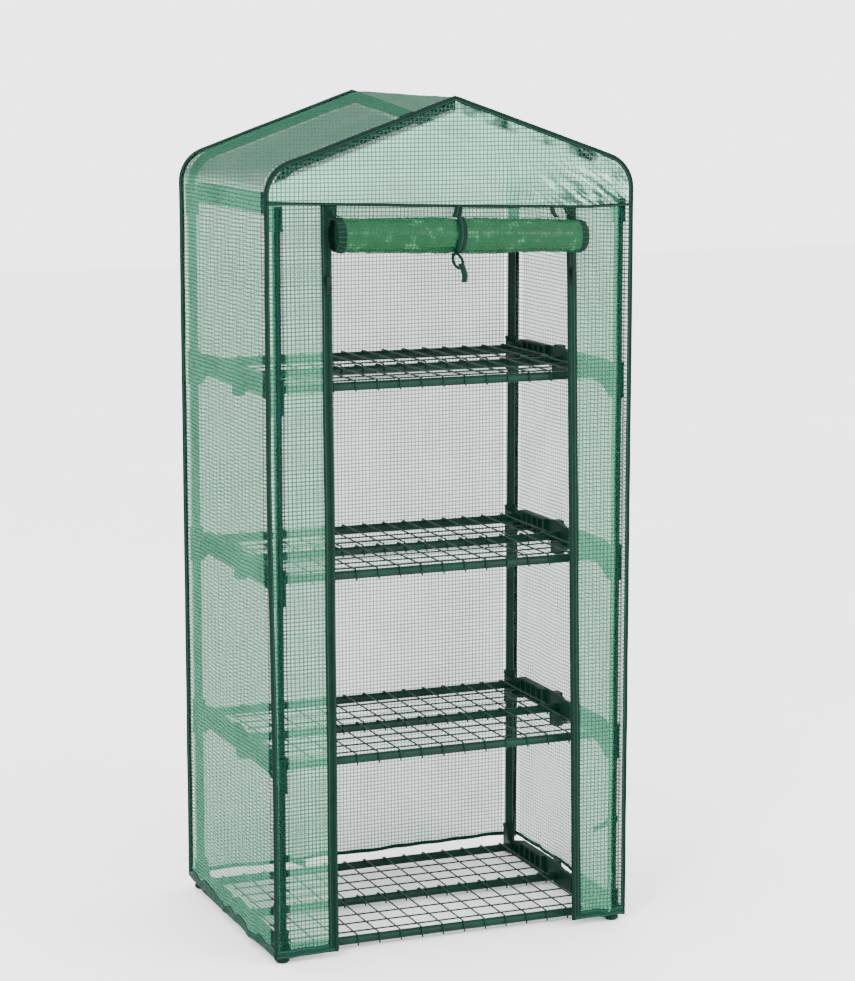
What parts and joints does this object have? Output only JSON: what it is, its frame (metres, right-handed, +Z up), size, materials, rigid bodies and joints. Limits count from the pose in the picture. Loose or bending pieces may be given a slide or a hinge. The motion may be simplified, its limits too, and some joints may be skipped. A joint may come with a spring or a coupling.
{
  "type": "mini pop up greenhouse",
  "caption": "Folding tube-frame staging greenhouse with wire half-grid shelves, hinged side links, a translucent gabled cover and a rolled-up zipped door.",
  "frame": {"origin": "on the floor, under the middle of the whole outline with the rolled door included", "axes": "+Z up, -Y is the door side, +X the viewer's right"},
  "size_m": [0.7, 0.5824, 1.556],
  "materials": {
    "coated_steel": "dark green powder coat, satin",
    "pin_steel": "plain",
    "moulded_plastic": "dark green moulded polypropylene",
    "cover_sheet": "translucent mesh-reinforced polyethylene",
    "rolled_sheet": "the same sheet, rolled in many layers",
    "dark_binding": "woven polyester tape",
    "zip_metal": "painted die-cast"
  },
  "bodies": {
    "front_frame": {"front_posts": "coated_steel", "front_feet": "moulded_plastic", "front_gable_tubes": "coated_steel", "front_apex_joiner": "moulded_plastic", "front_cross_tubes": "coated_steel", "front_eave_brackets": "moulded_plastic", "front_eave_pins": "pin_steel", "front_brackets_1": "moulded_plastic", "front_brackets_2": "moulded_plastic", "front_brackets_3": "moulded_plastic", "front_brackets_4": "moulded_plastic", "cover_front": "cover_sheet", "cover_sides": "cover_sheet", "cover_roof": "cover_sheet", "zip_tapes": "dark_binding"},
    "rear_frame": {"rear_posts": "coated_steel", "rear_feet": "moulded_plastic", "rear_gable_tubes": "coated_steel", "rear_apex_joiner": "moulded_plastic", "rear_cross_tubes": "coated_steel", "rear_eave_brackets": "moulded_plastic", "rear_eave_pins": "pin_steel", "rear_brackets_1": "moulded_plastic", "rear_brackets_2": "moulded_plastic", "rear_brackets_3": "moulded_plastic", "rear_brackets_4": "moulded_plastic", "cover_rear": "cover_sheet"},
    "front_tier_1": {"mid_tube_1": "coated_steel", "front_links_1": "moulded_plastic", "front_grid_1": "coated_steel"},
    "rear_tier_1": {"rear_links_1": "moulded_plastic", "rear_grid_1": "coated_steel"},
    "front_tier_2": {"mid_tube_2": "coated_steel", "front_links_2": "moulded_plastic", "front_grid_2": "coated_steel"},
    "rear_tier_2": {"rear_links_2": "moulded_plastic", "rear_grid_2": "coated_steel"},
    "front_tier_3": {"mid_tube_3": "coated_steel", "front_links_3": "moulded_plastic", "front_grid_3": "coated_steel"},
    "rear_tier_3": {"rear_links_3": "moulded_plastic", "rear_grid_3": "coated_steel"},
    "front_tier_4": {"mid_tube_4": "coated_steel", "front_links_4": "moulded_plastic", "front_grid_4": "coated_steel"},
    "rear_tier_4": {"rear_links_4": "moulded_plastic", "rear_grid_4": "coated_steel"},
    "left_front_eave": {"left_front_eave_link": "moulded_plastic", "left_knuckle_pin": "pin_steel"},
    "left_rear_eave": {"left_rear_eave_link": "moulded_plastic"},
    "right_front_eave": {"right_front_eave_link": "moulded_plastic", "right_knuckle_pin": "pin_steel"},
    "right_rear_eave": {"right_rear_eave_link": "moulded_plastic"},
    "left_zip_slider": {"left_zip_slider": "zip_metal"},
    "right_zip_slider": {"right_zip_slider": "zip_metal"},
    "door_roll": {"door_roll": "rolled_sheet", "roll_ribbon": "dark_binding"}
  },
  "joints": [
    {"name": "fold", "type": "hinge", "parent": "front_frame", "child": "front_tier_1", "pos_m": [0, -0.1818, 0.016], "axis": [1, 0, 0], "range_deg": [0, 75], "deforming": ["cover_sides", "cover_roof"]},
    {"name": "mid_fold_1", "type": "hinge", "parent": "front_tier_1", "child": "rear_tier_1", "pos_m": [0, 0.0342, 0.016], "axis": [-1, 0, 0], "range_deg": [0, 150]},
    {"name": "front_fold_2", "type": "hinge", "parent": "front_frame", "child": "front_tier_2", "pos_m": [0, -0.1818, 0.359], "axis": [1, 0, 0], "range_deg": [0, 75]},
    {"name": "mid_fold_2", "type": "hinge", "parent": "front_tier_2", "child": "rear_tier_2", "pos_m": [0, 0.0342, 0.359], "axis": [-1, 0, 0], "range_deg": [0, 150]},
    {"name": "front_fold_3", "type": "hinge", "parent": "front_frame", "child": "front_tier_3", "pos_m": [0, -0.1818, 0.702], "axis": [1, 0, 0], "range_deg": [0, 75]},
    {"name": "mid_fold_3", "type": "hinge", "parent": "front_tier_3", "child": "rear_tier_3", "pos_m": [0, 0.0342, 0.702], "axis": [-1, 0, 0], "range_deg": [0, 150]},
    {"name": "front_fold_4", "type": "hinge", "parent": "front_frame", "child": "front_tier_4", "pos_m": [0, -0.1818, 1.045], "axis": [1, 0, 0], "range_deg": [0, 75]},
    {"name": "mid_fold_4", "type": "hinge", "parent": "front_tier_4", "child": "rear_tier_4", "pos_m": [0, 0.0342, 1.045], "axis": [-1, 0, 0], "range_deg": [0, 150]},
    {"name": "rear_fold", "type": "hinge", "parent": "rear_tier_1", "child": "rear_frame", "pos_m": [0, 0.2502, 0.016], "axis": [1, 0, 0], "range_deg": [0, 75]},
    {"name": "left_eave_fold", "type": "hinge", "parent": "front_frame", "child": "left_front_eave", "pos_m": [-0.332, -0.1818, 1.368], "axis": [0, 0, -1], "range_deg": [0, 75]},
    {"name": "left_eave_knuckle", "type": "hinge", "parent": "left_front_eave", "child": "left_rear_eave", "pos_m": [-0.332, 0.0342, 1.368], "axis": [0, 0, 1], "range_deg": [0, 150]},
    {"name": "right_eave_fold", "type": "hinge", "parent": "front_frame", "child": "right_front_eave", "pos_m": [0.332, -0.1818, 1.368], "axis": [0, 0, 1], "range_deg": [0, 75]},
    {"name": "right_eave_knuckle", "type": "hinge", "parent": "right_front_eave", "child": "right_rear_eave", "pos_m": [0.332, 0.0342, 1.368], "axis": [0, 0, -1], "range_deg": [0, 150]},
    {"name": "left_zip", "type": "slide", "parent": "front_frame", "child": "left_zip_slider", "axis": [0.0055, 0, -1], "range_m": [0, 1.19]},
    {"name": "right_zip", "type": "slide", "parent": "front_frame", "child": "right_zip_slider", "axis": [0.0175, 0, -0.9998], "range_m": [0, 1.19]},
    {"name": "roll_swing", "type": "hinge", "parent": "front_frame", "child": "door_roll", "pos_m": [0, -0.2228, 1.37], "axis": [-1, 0, 0], "range_deg": [0, 40]}
  ],
  "couplings": [
    {"joint": "mid_fold_1", "follows": "fold", "ratio": 2},
    {"joint": "front_fold_2", "follows": "fold", "ratio": 1},
    {"joint": "mid_fold_2", "follows": "fold", "ratio": 2},
    {"joint": "front_fold_3", "follows": "fold", "ratio": 1},
    {"joint": "mid_fold_3", "follows": "fold", "ratio": 2},
    {"joint": "front_fold_4", "follows": "fold", "ratio": 1},
    {"joint": "mid_fold_4", "follows": "fold", "ratio": 2},
    {"joint": "rear_fold", "follows": "fold", "ratio": 1},
    {"joint": "left_eave_fold", "follows": "fold", "ratio": 1},
    {"joint": "left_eave_knuckle", "follows": "fold", "ratio": 2},
    {"joint": "right_eave_fold", "follows": "fold", "ratio": 1},
    {"joint": "right_eave_knuckle", "follows": "fold", "ratio": 2}
  ]
}
